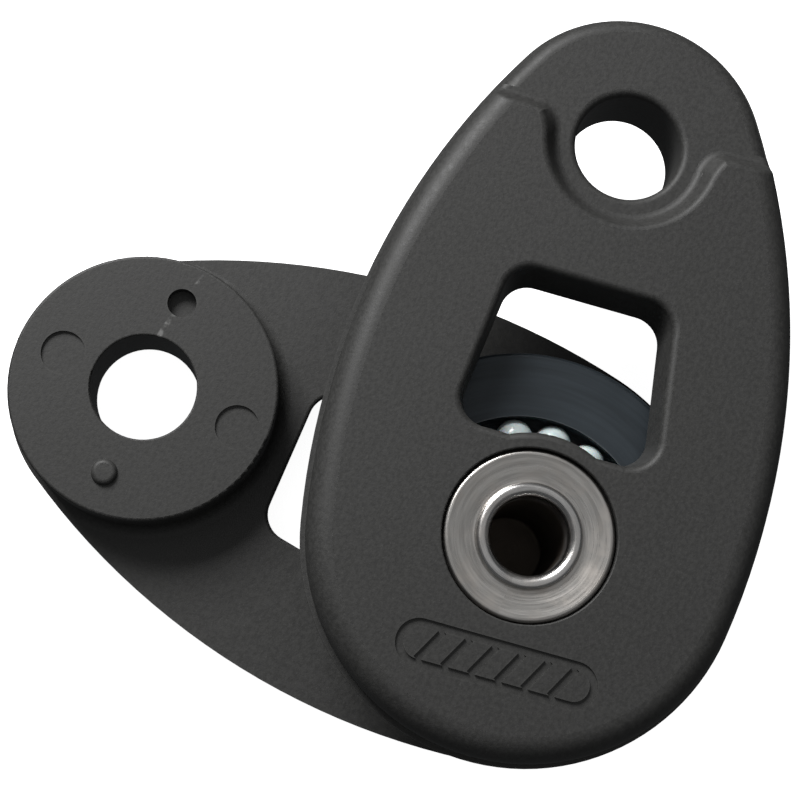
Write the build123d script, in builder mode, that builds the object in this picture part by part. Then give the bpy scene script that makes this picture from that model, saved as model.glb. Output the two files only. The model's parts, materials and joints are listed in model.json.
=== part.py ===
"""Snatch block: two egg-shaped cheeks that swing open about the sheave's axle.

Millimetres, +Z along the axle towards the front cheek, +Y from the axle to the
head of the rear cheek. The origin is the centre of the sheave. The block lies
on its back with the front cheek swung clear of the rear one, ready for a rope
to be laid over the sheave.
"""

from build123d import *

import os
from math import atan2, cos, radians, sin, sqrt

# --- driving dimensions ------------------------------------------------------
open_angle = 82.5  # swing of the front cheek away from closed, degrees
spring_apart = 1.0  # axial play that lets the pegs lift out of their sockets

# cheek outline: a big round end about the axle and a small one about the head
head_distance = 64.6  # axle to head hole
tail_radius = 33.6
tail_centre_y = -0.2
head_radius = 21.6
flank_radius = 119.0

# cheek levels, measured outwards from the plane where the two bosses meet
boss_height = 8.4
plateau_level = 12.9
face_level = 16.4
face_edge_radius = 4.0
plateau_edge_radius = 2.4
lip_width = 0.8
lip_thickness = 1.1
boss_foot_radius = 2.0
boss_edge_radius = 0.5

# raised face, cut back in a U round the head hole
collar_radius = 12.0
shoulder_rise = 3.0  # the U opens out this far above the head hole's centre
shoulder_radius = 3.7
step_draft = 30.0
step_top_round = 1.2
step_foot_round = 1.4

# window between the head and the axle, as it is on the cheek's inner face
window_draft = 0.9  # how far each side opens out from the inside to the outside
window_foot_y = 15.0
window_foot_half = 15.3
window_top_half = 12.2
window_top_y = 38.8
window_top_rake = 0.8  # extra opening of the head-side wall
window_hub_radius = 15.8
window_corner_radius = 4.5
window_outer_round = 1.1
window_inner_round = 0.6
window_reach = (10, 50)  # span along the cheek that holds the window's edges only

# head hole and the boss face
head_hole_radius = 8.5
head_hole_outer_round = 1.1
head_hole_inner_round = 0.3
peg_offset = 15.0
peg_radius = 2.1
peg_height = 0.9
peg_edge_round = 0.8
socket_radius = 2.35
socket_depth = 2.0
ejector_radius = 3.55
ejector_inner_offset = 16.3
ejector_outer_offset = 14.0
ejector_depth = 0.5

# dished washers and the seats they turn in
washer_bore_radius = 7.55
washer_radius = 13.1
washer_rim_thickness = 1.0
dish_radius = 8.6
dish_thickness = 1.0
crown_radius = 12.3
crown_thickness = 1.75
crown_step = 0.08  # the rounded rim stands this proud of the dish
seat_radius = 13.35
seat_depth = 2.2
seat_edge_round = 0.25
stack_gap = 0.05  # left between faces that turn against each other

# rivet that is the axle: a tube, closed by a head behind and rolled over in front
axle_radius = 7.5
axle_bore_radius = 6.0
axle_floor = -12.0
axle_floor_round = 0.8
mouth_radius = 1.3
rolled_radius = 8.2
rolled_undercut = 0.3
rear_head_radius = 9.3
rear_head_inset = 0.1  # left between the head and the plane the block lies on
rear_head_round = 0.5
cheek_running_gap = 0.08

# two rows of balls between the split inner race and the sheave
ball_radius = 3.0
ball_circle = 16.7
ball_level = 4.5
balls_per_row = 17
first_ball_angle = 3.7
race_radius = 3.05
race_shift = 0.02
race_land = 15.2
race_bore_radius = 7.55
race_edge_round = 0.3

# sheave
sheave_radius = 30.0
sheave_half_width = 7.65
sheave_edge_round = 0.7
groove_radius = 6.4
groove_centre = 30.1
groove_edge_round = 0.35
sheave_land = 18.5

# rope mark sunk into the cheek's face below the axle
mark_y = -19.8
mark_length = 31.0
mark_height = 7.2
mark_line = 1.2
mark_depth = 0.45
mark_strands = 6
mark_pitch = 4.1
mark_slant = 30.0

colours = {
    "cheek": Color(0.16, 0.16, 0.16),
    "sheave": Color(0.15, 0.19, 0.22),
    "ball": Color(0.88, 0.90, 0.86),
    "steel": Color(0.75, 0.75, 0.76),
    "race": Color(0.50, 0.51, 0.53),
}


strand_length = (mark_height - mark_line) / cos(radians(mark_slant)) - mark_line


# --- outlines ----------------------------------------------------------------
def egg_outline(grow=0.0):
    """The cheek's outline, grown outwards, as four tangent arcs."""
    tail = tail_radius + grow
    head = head_radius + grow
    flank = flank_radius + grow
    span = head_distance - tail_centre_y
    near, far = flank - tail, flank - head
    centre_y = (span**2 + near**2 - far**2) / (2 * span)
    centre_x = -sqrt(near**2 - centre_y**2)
    low = atan2(-centre_y, -centre_x)
    high = atan2(span - centre_y, -centre_x)
    middle = (low + high) / 2
    low_x, low_y = centre_x + flank * cos(low), tail_centre_y + centre_y + flank * sin(low)
    mid_x, mid_y = centre_x + flank * cos(middle), tail_centre_y + centre_y + flank * sin(middle)
    high_x, high_y = centre_x + flank * cos(high), tail_centre_y + centre_y + flank * sin(high)
    with BuildSketch(mode=Mode.PRIVATE) as outline:
        with BuildLine():
            ThreePointArc((-low_x, low_y), (0, tail_centre_y - tail), (low_x, low_y))
            ThreePointArc((low_x, low_y), (mid_x, mid_y), (high_x, high_y))
            ThreePointArc((high_x, high_y), (0, head_distance + head), (-high_x, high_y))
            ThreePointArc((-high_x, high_y), (-mid_x, mid_y), (-low_x, low_y))
        make_face()
    return outline.sketch


def window_outline(grow=0.0, rake=0.0):
    """A rounded trapezium that stays clear of the hub."""
    foot_y = window_foot_y - grow
    top_y = window_top_y + grow + rake
    foot_half, top_half = window_foot_half + grow, window_top_half + grow
    corners = [(-foot_half, foot_y), (foot_half, foot_y), (top_half, top_y), (-top_half, top_y)]
    with BuildSketch(mode=Mode.PRIVATE) as outline:
        with BuildLine():
            Polyline(*corners, close=True)
        make_face()
        fillet(outline.vertices(), window_corner_radius)
        Circle(window_hub_radius, mode=Mode.SUBTRACT)
    return outline.sketch


def is_ring(edge, radius):
    """Whether an edge is a full circle of the given radius."""
    return edge.geom_type == GeomType.CIRCLE and edge.is_closed and abs(edge.radius - radius) < 1e-4


# --- cutters for the cheek ---------------------------------------------------
full_thickness = face_level - boss_height
plate_thickness = plateau_level - boss_height
shoulder_y = head_distance + shoulder_rise

# the U round the head hole, with a rounded foot
with BuildPart() as collar:
    with BuildSketch(Plane.XY.offset(plateau_level)) as collar_sketch:
        with Locations((0, shoulder_y)):
            Rectangle(4 * head_radius, 2 * head_radius, align=(Align.CENTER, Align.MIN))
        with Locations((0, head_distance)):
            Circle(collar_radius)
        inner_corners = collar_sketch.vertices().sort_by_distance((0, head_distance, plateau_level))[:2]
        fillet(inner_corners, shoulder_radius)
    extrude(amount=full_thickness, taper=-step_draft)
    foot = collar.faces().sort_by(Axis.Z)[0].edges()
    fillet(foot.filter_by(GeomType.CIRCLE), step_foot_round)

# the plateau beyond the U, with the rounded rim it is trimmed to
with BuildPart() as plateau:
    with BuildSketch(Plane.XY.offset(boss_height)):
        add(egg_outline())
    extrude(amount=plate_thickness)
    fillet(plateau.faces().sort_by(Axis.Z)[-1].edges(), plateau_edge_radius)

with BuildPart() as rim:
    with BuildSketch(Plane.XY.offset(boss_height)):
        with Locations((0, shoulder_y + step_foot_round)):
            Rectangle(4 * head_radius, 2 * head_radius, align=(Align.CENTER, Align.MIN))
    extrude(amount=full_thickness)
    add(plateau.part, mode=Mode.SUBTRACT)

# the window, opening out towards the outer face
with BuildPart() as window:
    with BuildSketch(Plane.XY.offset(boss_height)):
        add(window_outline())
    with BuildSketch(Plane.XY.offset(face_level)):
        add(window_outline(window_draft, window_top_rake))
    loft()

# the lip round the inner edge of the outline
with BuildPart() as lip:
    with BuildSketch(Plane.XY.offset(boss_height)):
        add(egg_outline(lip_width))
    extrude(amount=lip_thickness)

# the curve where the boss grows out of the inner face, kept inside the outline
head_axis = Axis((0, head_distance, 0), (0, 0, 1))
head_section = Plane(origin=(0, head_distance, boss_height), x_dir=(1, 0, 0), z_dir=(0, -1, 0))

with BuildPart() as boss_foot:
    with BuildSketch(head_section):
        Rectangle(head_radius + boss_foot_radius, boss_foot_radius, align=(Align.MIN, Align.MAX))
        with Locations((head_radius + boss_foot_radius, -boss_foot_radius)):
            Circle(boss_foot_radius, mode=Mode.SUBTRACT)
    revolve(axis=head_axis)
    with BuildSketch(Plane.XY.offset(boss_height)):
        add(egg_outline())
    extrude(amount=-boss_foot_radius, mode=Mode.INTERSECT)

with BuildPart() as boss:
    with BuildSketch(Plane.XY):
        with Locations((0, head_distance)):
            Circle(head_radius)
    extrude(amount=boss_height)
    fillet(boss.faces().sort_by(Axis.Z)[0].edges(), boss_edge_radius)


# --- cheek moulding, as the front cheek stands when the block is closed -------
with BuildPart() as cheek:
    with BuildSketch(Plane.XY.offset(boss_height)):
        add(egg_outline())
    extrude(amount=full_thickness)
    fillet(cheek.faces().sort_by(Axis.Z)[-1].edges(), face_edge_radius)
    add(collar.part, mode=Mode.SUBTRACT)
    crease = cheek.faces().sort_by(Axis.Z)[-1].edges().filter_by(GeomType.BSPLINE)
    fillet(crease, step_top_round)
    add(rim.part, mode=Mode.SUBTRACT)

    add(lip.part)

    # window
    add(window.part, mode=Mode.SUBTRACT)
    window_edges = cheek.edges().filter_by_position(Axis.Y, *window_reach)
    window_edges = window_edges.filter_by_position(Axis.X, -tail_radius / 2, tail_radius / 2)
    outer_edges = window_edges.filter_by_position(Axis.Z, face_level, face_level)
    inner_edges = window_edges.filter_by_position(Axis.Z, boss_height, boss_height)
    fillet(outer_edges, window_outer_round)
    fillet(inner_edges, window_inner_round)

    # boss
    add(boss_foot.part)
    add(boss.part)

    # axle bore and the seat for its washer
    with BuildSketch(Plane.XY.offset(boss_height)):
        Circle(axle_radius + cheek_running_gap)
    extrude(amount=full_thickness, mode=Mode.SUBTRACT)
    with BuildSketch(Plane.XY.offset(face_level - seat_depth)):
        Circle(seat_radius)
    extrude(amount=seat_depth, mode=Mode.SUBTRACT)

    # head hole
    with BuildSketch(Plane.XY):
        with Locations((0, head_distance)):
            Circle(head_hole_radius)
    extrude(amount=plateau_level, mode=Mode.SUBTRACT)

    # peg, socket and the two ejector marks on the boss face
    with BuildSketch(Plane.XY):
        with Locations((peg_offset, head_distance)):
            Circle(peg_radius)
    extrude(amount=-peg_height)
    with BuildSketch(Plane.XY):
        with Locations((-peg_offset, head_distance)):
            Circle(socket_radius)
    extrude(amount=socket_depth, mode=Mode.SUBTRACT)
    with BuildSketch(Plane.XY):
        with Locations((0, head_distance - ejector_inner_offset), (0, head_distance + ejector_outer_offset)):
            Circle(ejector_radius)
    extrude(amount=ejector_depth, mode=Mode.SUBTRACT)

    # rope mark
    with BuildSketch(Plane.XY.offset(face_level)):
        with Locations((0, mark_y)):
            SlotOverall(mark_length, mark_height)
            SlotOverall(mark_length - 2 * mark_line, mark_height - 2 * mark_line, mode=Mode.SUBTRACT)
        with Locations((0, mark_y)):
            with GridLocations(mark_pitch, mark_height, mark_strands, 1):
                Rectangle(mark_line, strand_length, rotation=-mark_slant)
    extrude(amount=-mark_depth, mode=Mode.SUBTRACT)

    # broken edges
    seat_edge = cheek.edges().filter_by(GeomType.CIRCLE).filter_by_position(Axis.Z, face_level, face_level)
    fillet(seat_edge.sort_by_distance((0, 0, face_level))[0], seat_edge_round)
    hole_edges = cheek.edges().filter_by(lambda edge: is_ring(edge, head_hole_radius)).sort_by(Axis.Z)
    fillet(hole_edges[0], head_hole_inner_round)
    fillet(hole_edges[-1], head_hole_outer_round)
    peg_edges = cheek.edges().filter_by(lambda edge: is_ring(edge, peg_radius)).sort_by(Axis.Z)
    fillet(peg_edges[0], peg_edge_round)


# --- the two cheeks, one turned end for end to face the other -----------------
with BuildPart() as front_cheek:
    with Locations(Location((0, 0, spring_apart), (0, 0, -open_angle))):
        add(cheek.part)

with BuildPart() as rear_cheek:
    with Locations(Location((0, 0, 0), (0, 180, 0))):
        add(cheek.part)


# --- sheave ------------------------------------------------------------------
outer_race_radius = ball_circle + race_shift + race_radius

with BuildPart() as sheave:
    with BuildSketch(Plane.XZ) as sheave_profile:
        with Locations((sheave_land, 0)):
            Rectangle(sheave_radius - sheave_land, sheave_half_width, align=(Align.MIN, Align.MIN))
        with Locations((groove_centre, 0)):
            Circle(groove_radius, mode=Mode.SUBTRACT)
        with Locations((ball_circle + race_shift, ball_level)):
            Circle(race_radius, mode=Mode.SUBTRACT)
        with Locations((sheave_land, ball_level)):
            Rectangle(
                outer_race_radius - sheave_land,
                sheave_half_width - ball_level,
                align=(Align.MIN, Align.MIN),
                mode=Mode.SUBTRACT,
            )
        inner_rim, outer_rim = sheave_profile.vertices().group_by(Axis.X)[-1].sort_by(Axis.Z)
        fillet(outer_rim, sheave_edge_round)
        fillet(inner_rim, groove_edge_round)
        mirror(about=Plane.XZ)
    revolve(axis=Axis.Z)


# --- split inner race --------------------------------------------------------
with BuildPart() as inner_race_front:
    with BuildSketch(Plane.XZ) as race_profile:
        with Locations((race_bore_radius, 0)):
            Rectangle(race_land - race_bore_radius, boss_height - stack_gap, align=(Align.MIN, Align.MIN))
        with Locations((ball_circle - race_shift, ball_level)):
            Circle(race_radius, mode=Mode.SUBTRACT)
        fillet(race_profile.vertices().group_by(Axis.X)[0], race_edge_round)
    revolve(axis=Axis.Z)

with BuildPart() as inner_race_rear:
    with Locations(Location((0, 0, 0), (0, 180, 0))):
        add(inner_race_front.part)


# --- washers -----------------------------------------------------------------
front_washer_level = face_level - seat_depth + spring_apart + stack_gap
rear_washer_level = -(face_level - seat_depth + stack_gap)
dish_slope = (crown_radius - dish_radius, crown_thickness - crown_step - dish_thickness)

with BuildPart() as washer:
    with BuildSketch(Plane.XZ):
        with BuildLine():
            Polyline((washer_bore_radius, 0), (washer_radius, 0), (washer_radius, washer_rim_thickness))
            TangentArc(
                (crown_radius, crown_thickness),
                (washer_radius, washer_rim_thickness),
                tangent=dish_slope,
            )
            Polyline(
                (crown_radius, crown_thickness),
                (crown_radius, crown_thickness - crown_step),
                (dish_radius, dish_thickness),
                (washer_bore_radius, dish_thickness),
                (washer_bore_radius, 0),
            )
        make_face()
    revolve(axis=Axis.Z)

with BuildPart() as front_washer:
    with Locations((0, 0, front_washer_level)):
        add(washer.part)

with BuildPart() as rear_washer:
    with Locations(Location((0, 0, rear_washer_level), (0, 180, 0))):
        add(washer.part)


# --- axle rivet --------------------------------------------------------------
rolled_foot = front_washer_level + dish_thickness + stack_gap
crest_radius = axle_bore_radius + mouth_radius
rolled_top = rolled_foot + rolled_undercut + rolled_radius - crest_radius
rear_head_foot = rear_washer_level - dish_thickness - stack_gap
rear_head_bottom = rear_head_inset - face_level

with BuildPart() as axle_rivet:
    with BuildSketch(Plane.XZ) as rivet_profile:
        with BuildLine():
            Polyline(
                (axle_bore_radius, rolled_top - mouth_radius),
                (axle_bore_radius, axle_floor),
                (0, axle_floor),
                (0, rear_head_bottom),
                (rear_head_radius, rear_head_bottom),
                (rear_head_radius, rear_head_foot - stack_gap * 3),
                (dish_radius, rear_head_foot),
                (axle_radius, rear_head_foot),
                (axle_radius, rolled_foot),
                (rolled_radius - rolled_undercut, rolled_foot),
                (rolled_radius, rolled_foot + rolled_undercut),
            )
            JernArc(
                (rolled_radius, rolled_foot + rolled_undercut),
                (0, 1),
                rolled_radius - crest_radius,
                90,
            )
            JernArc((crest_radius, rolled_top), (-1, 0), mouth_radius, 90)
        make_face()
        head_corner = rivet_profile.vertices().sort_by_distance((rear_head_radius, 0, rear_head_bottom))[0]
        floor_corner = rivet_profile.vertices().sort_by_distance((axle_bore_radius, 0, axle_floor))[0]
        fillet(head_corner, rear_head_round)
        fillet(floor_corner, axle_floor_round)
    revolve(axis=Axis.Z)


# --- balls, one node each ----------------------------------------------------
balls = {}
for row, side in (("front", 1), ("rear", -1)):
    for index in range(balls_per_row):
        angle = first_ball_angle + index * 360 / balls_per_row
        with BuildPart() as ball:
            with Locations(Plane.XY.offset(side * ball_level)):
                with Locations(Rot(0, 0, angle) * Pos(ball_circle, 0, 0)):
                    Sphere(ball_radius)
        balls[f"ball_{row}_{index + 1:02d}"] = ball


# --- one file per node -------------------------------------------------------
nodes = {
    "rear_cheek": (rear_cheek, "cheek"),
    "front_cheek": (front_cheek, "cheek"),
    "sheave": (sheave, "sheave"),
    "inner_race_front": (inner_race_front, "race"),
    "inner_race_rear": (inner_race_rear, "race"),
    "axle_rivet": (axle_rivet, "steel"),
    "front_washer": (front_washer, "steel"),
    "rear_washer": (rear_washer, "steel"),
}
nodes.update({name: (ball, "ball") for name, ball in balls.items()})

os.makedirs("parts", exist_ok=True)
for name, (node, colour) in nodes.items():
    node.part.label = name
    node.part.color = colours[colour]
    export_step(node.part, f"parts/{name}.step")
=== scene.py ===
"""Looks of the opened snatch block: materials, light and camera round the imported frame."""

import json
from math import radians

import bpy
from mathutils import Matrix, Vector


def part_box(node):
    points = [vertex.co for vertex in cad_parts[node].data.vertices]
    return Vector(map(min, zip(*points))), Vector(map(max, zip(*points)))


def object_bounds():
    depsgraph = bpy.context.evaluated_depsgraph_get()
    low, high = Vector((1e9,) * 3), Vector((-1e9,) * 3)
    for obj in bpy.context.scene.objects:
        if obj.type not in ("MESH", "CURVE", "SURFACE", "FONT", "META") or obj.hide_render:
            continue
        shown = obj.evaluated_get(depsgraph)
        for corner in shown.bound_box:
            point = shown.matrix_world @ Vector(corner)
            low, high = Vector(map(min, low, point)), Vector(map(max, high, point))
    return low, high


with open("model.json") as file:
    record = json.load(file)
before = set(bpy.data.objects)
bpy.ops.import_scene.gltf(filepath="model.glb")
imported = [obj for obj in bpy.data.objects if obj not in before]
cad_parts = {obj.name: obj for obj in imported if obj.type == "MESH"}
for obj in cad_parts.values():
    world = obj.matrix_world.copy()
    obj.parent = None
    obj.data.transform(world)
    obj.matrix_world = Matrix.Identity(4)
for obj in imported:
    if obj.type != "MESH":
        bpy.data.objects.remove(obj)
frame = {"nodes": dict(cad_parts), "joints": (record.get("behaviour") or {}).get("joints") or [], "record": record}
cad_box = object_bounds()

MM = 0.001
record = frame["record"]
joints = {joint["name"]: joint for joint in frame["joints"]}
mounts = {mount["name"]: mount for mount in record["mounts"]}

# --- viewing angle -----------------------------------------------------------
# the roll about the axle, then the tilts about the picture's own axes
TILT_X = -9.94
TILT_Y = 3.86
ROLL = 67.13
CAMERA_DISTANCE = 282.8 * MM
CAMERA_TARGET = (-18.35 * MM, 23.31 * MM, 0.0)  # along the picture's right, up and near axes
CAMERA_LENS = 79.68
SENSOR_WIDTH = 36.0
CLIP_NEAR = 0.01
CLIP_FAR = 20.0

turn = Matrix.Rotation(radians(TILT_X), 3, "X") @ Matrix.Rotation(radians(TILT_Y), 3, "Y")
to_frame = (turn @ Matrix.Rotation(radians(ROLL), 3, "Z")).transposed()  # picture axes to frame axes


# --- node helpers ------------------------------------------------------------
class Graph:
    """A material's node tree, built from short calls."""

    def __init__(self, name):
        self.material = bpy.data.materials.new(name)
        self.material.use_nodes = True
        self.tree = self.material.node_tree
        self.tree.nodes.clear()
        self.output = self.tree.nodes.new("ShaderNodeOutputMaterial")

    def node(self, kind, inputs=None, **settings):
        made = self.tree.nodes.new(kind)
        for key, value in settings.items():
            setattr(made, key, value)
        for key, value in (inputs or {}).items():
            self.feed(made.inputs[key], value)
        return made

    def feed(self, socket, value):
        if isinstance(value, bpy.types.NodeSocket):
            self.tree.links.new(value, socket)
        elif socket.type == "RGBA" and len(value) == 3:
            socket.default_value = (*value, 1.0)
        else:
            socket.default_value = value

    def math(self, operation, first, second=0.0, third=0.0, clamp=False):
        made = self.node("ShaderNodeMath", {0: first, 1: second, 2: third}, operation=operation)
        made.use_clamp = clamp
        return made.outputs[0]

    def ramp(self, value, low, high, to_low=0.0, to_high=1.0, smooth=True):
        """value mapped from low..high to to_low..to_high, and held beyond."""
        made = self.node("ShaderNodeMapRange", {0: value, 1: low, 2: high, 3: to_low, 4: to_high})
        made.interpolation_type = "SMOOTHSTEP" if smooth else "LINEAR"
        return made.outputs[0]

    def mix(self, amount, first, second):
        made = self.node("ShaderNodeMix", data_type="RGBA")
        self.feed(made.inputs["Factor"], amount)
        self.feed(made.inputs[6], first)
        self.feed(made.inputs[7], second)
        return made.outputs[2]

    def shade(self, amount, colour):
        """colour times a brightness."""
        made = self.node("ShaderNodeVectorMath", operation="SCALE")
        self.feed(made.inputs[0], colour)
        self.feed(made.inputs["Scale"], amount)
        return made.outputs[0]

    def noise(self, vector, scale, detail=2.0, roughness=0.5):
        made = self.node("ShaderNodeTexNoise", {"Vector": vector, "Scale": scale, "Detail": detail})
        made.inputs["Roughness"].default_value = roughness
        return made.outputs["Fac"]

    def place(self):
        """Position in the frame at rest, its x, y and z, and the distance from the axle."""
        position = self.node("ShaderNodeTexCoord").outputs["Object"]
        split = self.node("ShaderNodeSeparateXYZ", {0: position}).outputs
        squares = self.math("ADD", self.math("POWER", split[0], 2.0), self.math("POWER", split[1], 2.0))
        return position, split[0], split[1], split[2], self.math("SQRT", squares)

    def rings(self, x, y, z, radius, pitch, streak):
        """Noise drawn out into rings about the axle, pitch apart and streak long."""
        angle = self.math("ARCTAN2", y, x)
        vector = self.node(
            "ShaderNodeCombineXYZ",
            {
                0: self.math("DIVIDE", radius, pitch),
                1: self.math("DIVIDE", angle, streak),
                2: self.math("DIVIDE", z, pitch),
            },
        )
        return self.noise(vector.outputs[0], 1.0, detail=2.0, roughness=0.6)

    def edges(self, reach, samples=4):
        """How far an edge rounded by reach turns the surface: 0 on a flat face."""
        soft = self.node("ShaderNodeBevel", samples=samples)
        soft.inputs["Radius"].default_value = reach
        hard = self.node("ShaderNodeNewGeometry").outputs["Normal"]
        same = self.node("ShaderNodeVectorMath", {0: soft.outputs[0], 1: hard}, operation="DOT_PRODUCT")
        return self.math("SUBTRACT", 1.0, same.outputs["Value"])

    def bump(self, height, depth, strength=1.0, normal=None):
        made = self.node("ShaderNodeBump", {"Height": height, "Distance": depth, "Strength": strength})
        if normal is not None:
            self.feed(made.inputs["Normal"], normal)
        return made.outputs[0]

    def finish(self, **inputs):
        shader = self.node("ShaderNodeBsdfPrincipled")
        for key, value in inputs.items():
            self.feed(shader.inputs[key.replace("_", " ")], value)
        self.tree.links.new(shader.outputs[0], self.output.inputs[0])
        return self.material


def wear(node, material):
    """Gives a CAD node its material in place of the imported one."""
    mesh = frame["nodes"][node].data
    mesh.materials.clear()
    mesh.materials.append(material)


# --- nylon cheeks ------------------------------------------------------------
NYLON = (0.0300, 0.0296, 0.0284)
NYLON_CLOUD = (0.038, 0.0385, 0.0375)
NYLON_RUBBED = (0.085, 0.084, 0.080)
NYLON_SCRATCHED = (0.24, 0.24, 0.235)
RUBBED_EDGE = 0.5 * MM
GRAIN_DEPTH = 0.05 * MM
PIT_DEPTH = 0.02 * MM
SOCKET_OFFSET = 15.0 * MM
SCRATCH_RADIUS = 66.3 * MM
SCRATCH_CORE = 0.2 * MM
SCRATCH_HALF_WIDTH = 0.55 * MM
SCRATCH_REACH = 9.5 * MM
SCRATCH_STRENGTH = 0.55
FACE_NEAR = 0.1 * MM
FACE_FAR = 0.25 * MM


def nylon(name, mating_level, socket):
    """Spark-textured nylon, with the track that the other cheek's peg leaves at the socket.

    mating_level is the height of the boss's face, and socket the middle of its socket there.
    """
    graph = Graph(name)
    position, x, y, z, radius = graph.place()

    cloud = graph.noise(position, 45.0, detail=3.0)
    grain = graph.noise(position, 1500.0, detail=3.0, roughness=0.65)
    pits = graph.noise(position, 3600.0, detail=1.0)
    colour = graph.mix(graph.ramp(cloud, 0.3, 0.7, 0.0, 0.22), NYLON, NYLON_CLOUD)
    colour = graph.shade(graph.ramp(grain, 0.3, 0.7, 0.80, 1.22), colour)
    fibres = graph.ramp(pits, 0.66, 0.74)
    colour = graph.mix(graph.math("MULTIPLY", fibres, 0.25), colour, NYLON_RUBBED)

    rubbed = graph.ramp(graph.edges(RUBBED_EDGE), 0.02, 0.25)
    patchy = graph.ramp(graph.noise(position, 260.0, detail=3.0), 0.38, 0.66)
    rubbed = graph.math("MULTIPLY", rubbed, graph.ramp(patchy, 0.0, 1.0, 0.10, 0.38))
    colour = graph.mix(rubbed, colour, NYLON_RUBBED)

    off_track = graph.math("ABSOLUTE", graph.math("SUBTRACT", radius, SCRATCH_RADIUS))
    along = graph.noise(position, 520.0, detail=3.0)
    track = graph.ramp(off_track, SCRATCH_CORE, SCRATCH_HALF_WIDTH, 1.0, 0.0)
    track = graph.math("MULTIPLY", track, graph.ramp(along, 0.45, 0.62))
    off_face = graph.math("ABSOLUTE", graph.math("SUBTRACT", z, mating_level))
    on_face = graph.ramp(off_face, FACE_NEAR, FACE_FAR, 1.0, 0.0)
    away = graph.node("ShaderNodeVectorMath", {0: position, 1: socket}, operation="DISTANCE").outputs["Value"]
    near = graph.ramp(away, 0.6 * SCRATCH_REACH, SCRATCH_REACH, 1.0, 0.0)
    track = graph.math("MULTIPLY", track, on_face)
    track = graph.math("MULTIPLY", track, graph.math("MULTIPLY", near, SCRATCH_STRENGTH))
    colour = graph.mix(track, colour, NYLON_SCRATCHED)

    rough = graph.ramp(grain, 0.2, 0.8, 0.50, 0.64)
    rough = graph.math("SUBTRACT", rough, graph.math("MULTIPLY", rubbed, 0.18))
    normal = graph.bump(grain, GRAIN_DEPTH, 0.65)
    normal = graph.bump(pits, PIT_DEPTH, 0.5, normal)
    return graph.finish(Base_Color=colour, Roughness=rough, Normal=normal, Specular_IOR_Level=0.42)


rear_socket = (SOCKET_OFFSET, mounts["rear_head_bore"]["pos_m"][1], 0.0)
wear("rear_cheek", nylon("nylon_rear", 0.0, rear_socket))
front_head = Vector(mounts["front_head_bore"]["pos_m"])
front_along = Vector((front_head.x, front_head.y, 0.0)).normalized()
front_across = Vector((-front_along.y, front_along.x, 0.0))
front_socket = front_along * rear_socket[1] + front_across * rear_socket[0]
front_level = joints["cheek_press"]["range_m"][1]  # it rests lifted by the whole travel of the joint
wear("front_cheek", nylon("nylon_front", front_level, (front_socket.x, front_socket.y, front_level)))


# --- hard-anodised sheave ----------------------------------------------------
SLATE = (0.021, 0.028, 0.034)
SLATE_CLOUD = (0.029, 0.037, 0.044)
SLATE_RUBBED = (0.20, 0.21, 0.22)
SHEAVE_EDGE = 0.35 * MM
GROOVE_FLOOR = 23.7 * MM
GROOVE_FLANK = 26.5 * MM
GROOVE_MIDDLE = 3.5 * MM
GROOVE_SIDE = 6.0 * MM


def anodised(name):
    """Dark slate anodising over turning marks, rubbed on its rims and in the rope's groove."""
    graph = Graph(name)
    position, x, y, z, radius = graph.place()
    marks = graph.rings(x, y, z, radius, pitch=0.16 * MM, streak=2.4)
    broad = graph.rings(x, y, z, radius, pitch=1.3 * MM, streak=0.8)
    cloud = graph.noise(position, 70.0, detail=3.0)
    colour = graph.mix(graph.ramp(cloud, 0.3, 0.7), SLATE, SLATE_CLOUD)
    colour = graph.shade(graph.ramp(broad, 0.3, 0.7, 0.85, 1.15), colour)
    rubbed = graph.ramp(graph.edges(SHEAVE_EDGE), 0.03, 0.3)
    rubbed = graph.math("MULTIPLY", rubbed, graph.ramp(cloud, 0.35, 0.65, 0.2, 0.7))
    near_floor = graph.ramp(radius, GROOVE_FLOOR, GROOVE_FLANK, 0.45, 0.0)
    near_middle = graph.ramp(graph.math("ABSOLUTE", z), GROOVE_MIDDLE, GROOVE_SIDE, 1.0, 0.0)
    in_groove = graph.math("MULTIPLY", near_floor, near_middle)
    chafed = graph.math("MULTIPLY", in_groove, graph.ramp(marks, 0.3, 0.7, 0.4, 1.0))
    rubbed = graph.math("MAXIMUM", rubbed, chafed)
    colour = graph.mix(rubbed, colour, SLATE_RUBBED)
    rough = graph.ramp(marks, 0.25, 0.75, 0.36, 0.50)
    normal = graph.bump(marks, 0.012 * MM, 0.6)
    return graph.finish(
        Base_Color=colour, Roughness=rough, Normal=normal, Metallic=0.35, Specular_IOR_Level=0.5
    )


wear("sheave", anodised("anodised_sheave"))


# --- turned metal ------------------------------------------------------------
STEEL = (0.62, 0.61, 0.60)
WASHER_STEEL = (0.50, 0.485, 0.465)
RACE_STEEL = (0.42, 0.43, 0.44)
TARNISH = (0.46, 0.40, 0.35)
# painted shade: the next colour darkens the rivet's bore with depth, where shade falls inside it
BORE_SHADE = (0.130, 0.112, 0.095)
BORE_RADIUS = 6.05 * MM
BORE_EDGE = 0.25 * MM
SHADE_TOP = 1.5 * MM  # both depths are below the rivet's lip
SHADE_BOTTOM = 7.0 * MM


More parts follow.
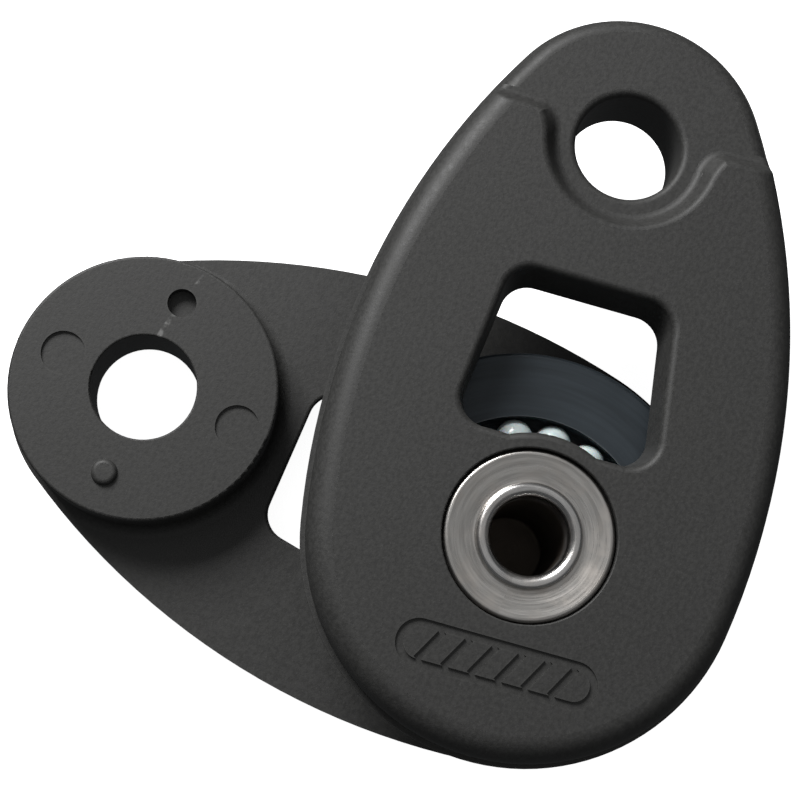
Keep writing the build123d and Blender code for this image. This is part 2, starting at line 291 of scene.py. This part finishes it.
def turned(name, colour, rough_low, rough_high, shade_depths=None):
    """Turned and polished metal. The last argument gives the top and bottom of a bore painted darker with depth,
    which is painted shade.
    """
    graph = Graph(name)
    position, x, y, z, radius = graph.place()
    marks = graph.rings(x, y, z, radius, pitch=0.10 * MM, streak=1.6)
    broad = graph.rings(x, y, z, radius, pitch=0.7 * MM, streak=0.7)
    smears = graph.noise(position, 240.0, detail=4.0, roughness=0.6)
    shine = graph.shade(graph.ramp(broad, 0.3, 0.7, 0.76, 1.06), colour)
    shine = graph.mix(graph.ramp(smears, 0.4, 0.75, 0.0, 0.35), shine, TARNISH)
    rough = graph.ramp(marks, 0.25, 0.75, rough_low, rough_high)
    rough = graph.math("ADD", rough, graph.ramp(smears, 0.45, 0.8, 0.0, 0.12))
    if shade_depths:
        top, bottom = shade_depths
        inside = graph.ramp(radius, BORE_RADIUS, BORE_RADIUS + BORE_EDGE, 1.0, 0.0)
        deep = graph.ramp(z, bottom, top, 1.0, 0.0)
        # painted shade: the bore is coloured darker towards its bottom
        shade_mask = graph.math("MULTIPLY", inside, deep)
        shine = graph.mix(shade_mask, shine, BORE_SHADE)
        rough = graph.math("ADD", rough, graph.math("MULTIPLY", shade_mask, 0.35))
    normal = graph.bump(marks, 0.006 * MM, 0.55)
    return graph.finish(Base_Color=shine, Roughness=rough, Metallic=1.0, Normal=normal)


rivet_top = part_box("axle_rivet")[1].z
# the rivet's bore gets painted shade between these depths
rivet_bore_shade = (rivet_top - SHADE_TOP, rivet_top - SHADE_BOTTOM)
wear("axle_rivet", turned("steel_rivet", STEEL, 0.20, 0.32, rivet_bore_shade))
washer_metal = turned("steel_washer", WASHER_STEEL, 0.24, 0.42)
race_metal = turned("turned_race", RACE_STEEL, 0.28, 0.42)
for end in ("front", "rear"):
    wear(f"{end}_washer", washer_metal)
    wear(f"inner_race_{end}", race_metal)


# --- acetal balls ------------------------------------------------------------
ACETAL = (0.52, 0.60, 0.60)
ACETAL_CLOUD = (0.62, 0.70, 0.70)
ACETAL_SMEAR = (0.33, 0.35, 0.35)


def acetal(name):
    """Glossy white acetal, faintly clouded and smeared with grey from running."""
    graph = Graph(name)
    position = graph.place()[0]
    cloud = graph.noise(position, 330.0, detail=3.0)
    smears = graph.noise(position, 900.0, detail=3.0, roughness=0.7)
    colour = graph.mix(graph.ramp(cloud, 0.3, 0.7), ACETAL, ACETAL_CLOUD)
    colour = graph.mix(graph.ramp(smears, 0.58, 0.75, 0.0, 0.28), colour, ACETAL_SMEAR)
    rough = graph.ramp(smears, 0.3, 0.7, 0.12, 0.26)
    normal = graph.bump(smears, 0.004 * MM, 0.4)
    return graph.finish(
        Base_Color=colour, Roughness=rough, Normal=normal, Subsurface_Weight=0.15, Subsurface_Scale=0.8 * MM
    )


ball_white = acetal("acetal_ball")
for node in frame["nodes"]:
    if node.startswith("ball_"):
        wear(node, ball_white)


# --- floor -------------------------------------------------------------------
FLOOR_HALF = 3.0
FLOOR_GLOW = 0.95
FLOOR_WHITE = (0.90, 0.90, 0.90)

floor_level = cad_box[0].z
floor_mesh = bpy.data.meshes.new("floor")
signs = ((-1, -1), (1, -1), (1, 1), (-1, 1))
corners = [(x * FLOOR_HALF, y * FLOOR_HALF, floor_level) for x, y in signs]
floor_mesh.from_pydata(corners, [], [(0, 1, 2, 3)])
floor = bpy.data.objects.new("floor", floor_mesh)
bpy.context.scene.collection.objects.link(floor)
paper = Graph("floor_paper")
fleck = paper.noise(paper.place()[0], 900.0, detail=2.0)
paper_white = paper.shade(paper.ramp(fleck, 0.3, 0.7, 0.97, 1.0), FLOOR_WHITE)
glow = {"Emission_Color": (1, 1, 1), "Emission_Strength": FLOOR_GLOW}
floor_mesh.materials.append(paper.finish(Base_Color=paper_white, Roughness=0.9, **glow))
# its glow shows the floor white and throws no light on the block
floor.visible_diffuse = False
floor.visible_glossy = False


# --- light -------------------------------------------------------------------
def softbox(name, right, up, near, size, power):
    """A square light, placed along the picture's right, up and near axes and aimed at the block."""
    light = bpy.data.lights.new(name, "AREA")
    light.shape = "SQUARE"
    light.size = size
    light.energy = power
    holder = bpy.data.objects.new(name, light)
    bpy.context.scene.collection.objects.link(holder)
    holder.location = to_frame @ Vector((right, up, near))
    holder.rotation_mode = "QUATERNION"
    holder.rotation_quaternion = (-holder.location).to_track_quat("-Z", "Y")


softbox("key", right=-0.27, up=0.62, near=0.36, size=0.34, power=8.0)
softbox("fill", right=0.15, up=0.30, near=1.0, size=1.7, power=2.6)

WORLD_COLOUR = (0.95, 0.98, 1.0, 1.0)
WORLD_STRENGTH = 0.085

world = bpy.data.worlds.new("studio")
world.use_nodes = True
background = world.node_tree.nodes["Background"]
background.inputs["Color"].default_value = WORLD_COLOUR
background.inputs["Strength"].default_value = WORLD_STRENGTH
bpy.context.scene.world = world
bpy.context.scene.view_settings.view_transform = "Standard"


# --- camera ------------------------------------------------------------------
camera = bpy.data.cameras.new("camera")
camera.lens = CAMERA_LENS
camera.sensor_width = SENSOR_WIDTH
camera.clip_start = CLIP_NEAR
camera.clip_end = CLIP_FAR
viewer = bpy.data.objects.new("camera", camera)
bpy.context.scene.collection.objects.link(viewer)
place = to_frame @ (Vector(CAMERA_TARGET) + Vector((0, 0, CAMERA_DISTANCE)))
viewer.matrix_world = Matrix.Translation(place) @ to_frame.to_4x4()
bpy.context.scene.camera = viewer
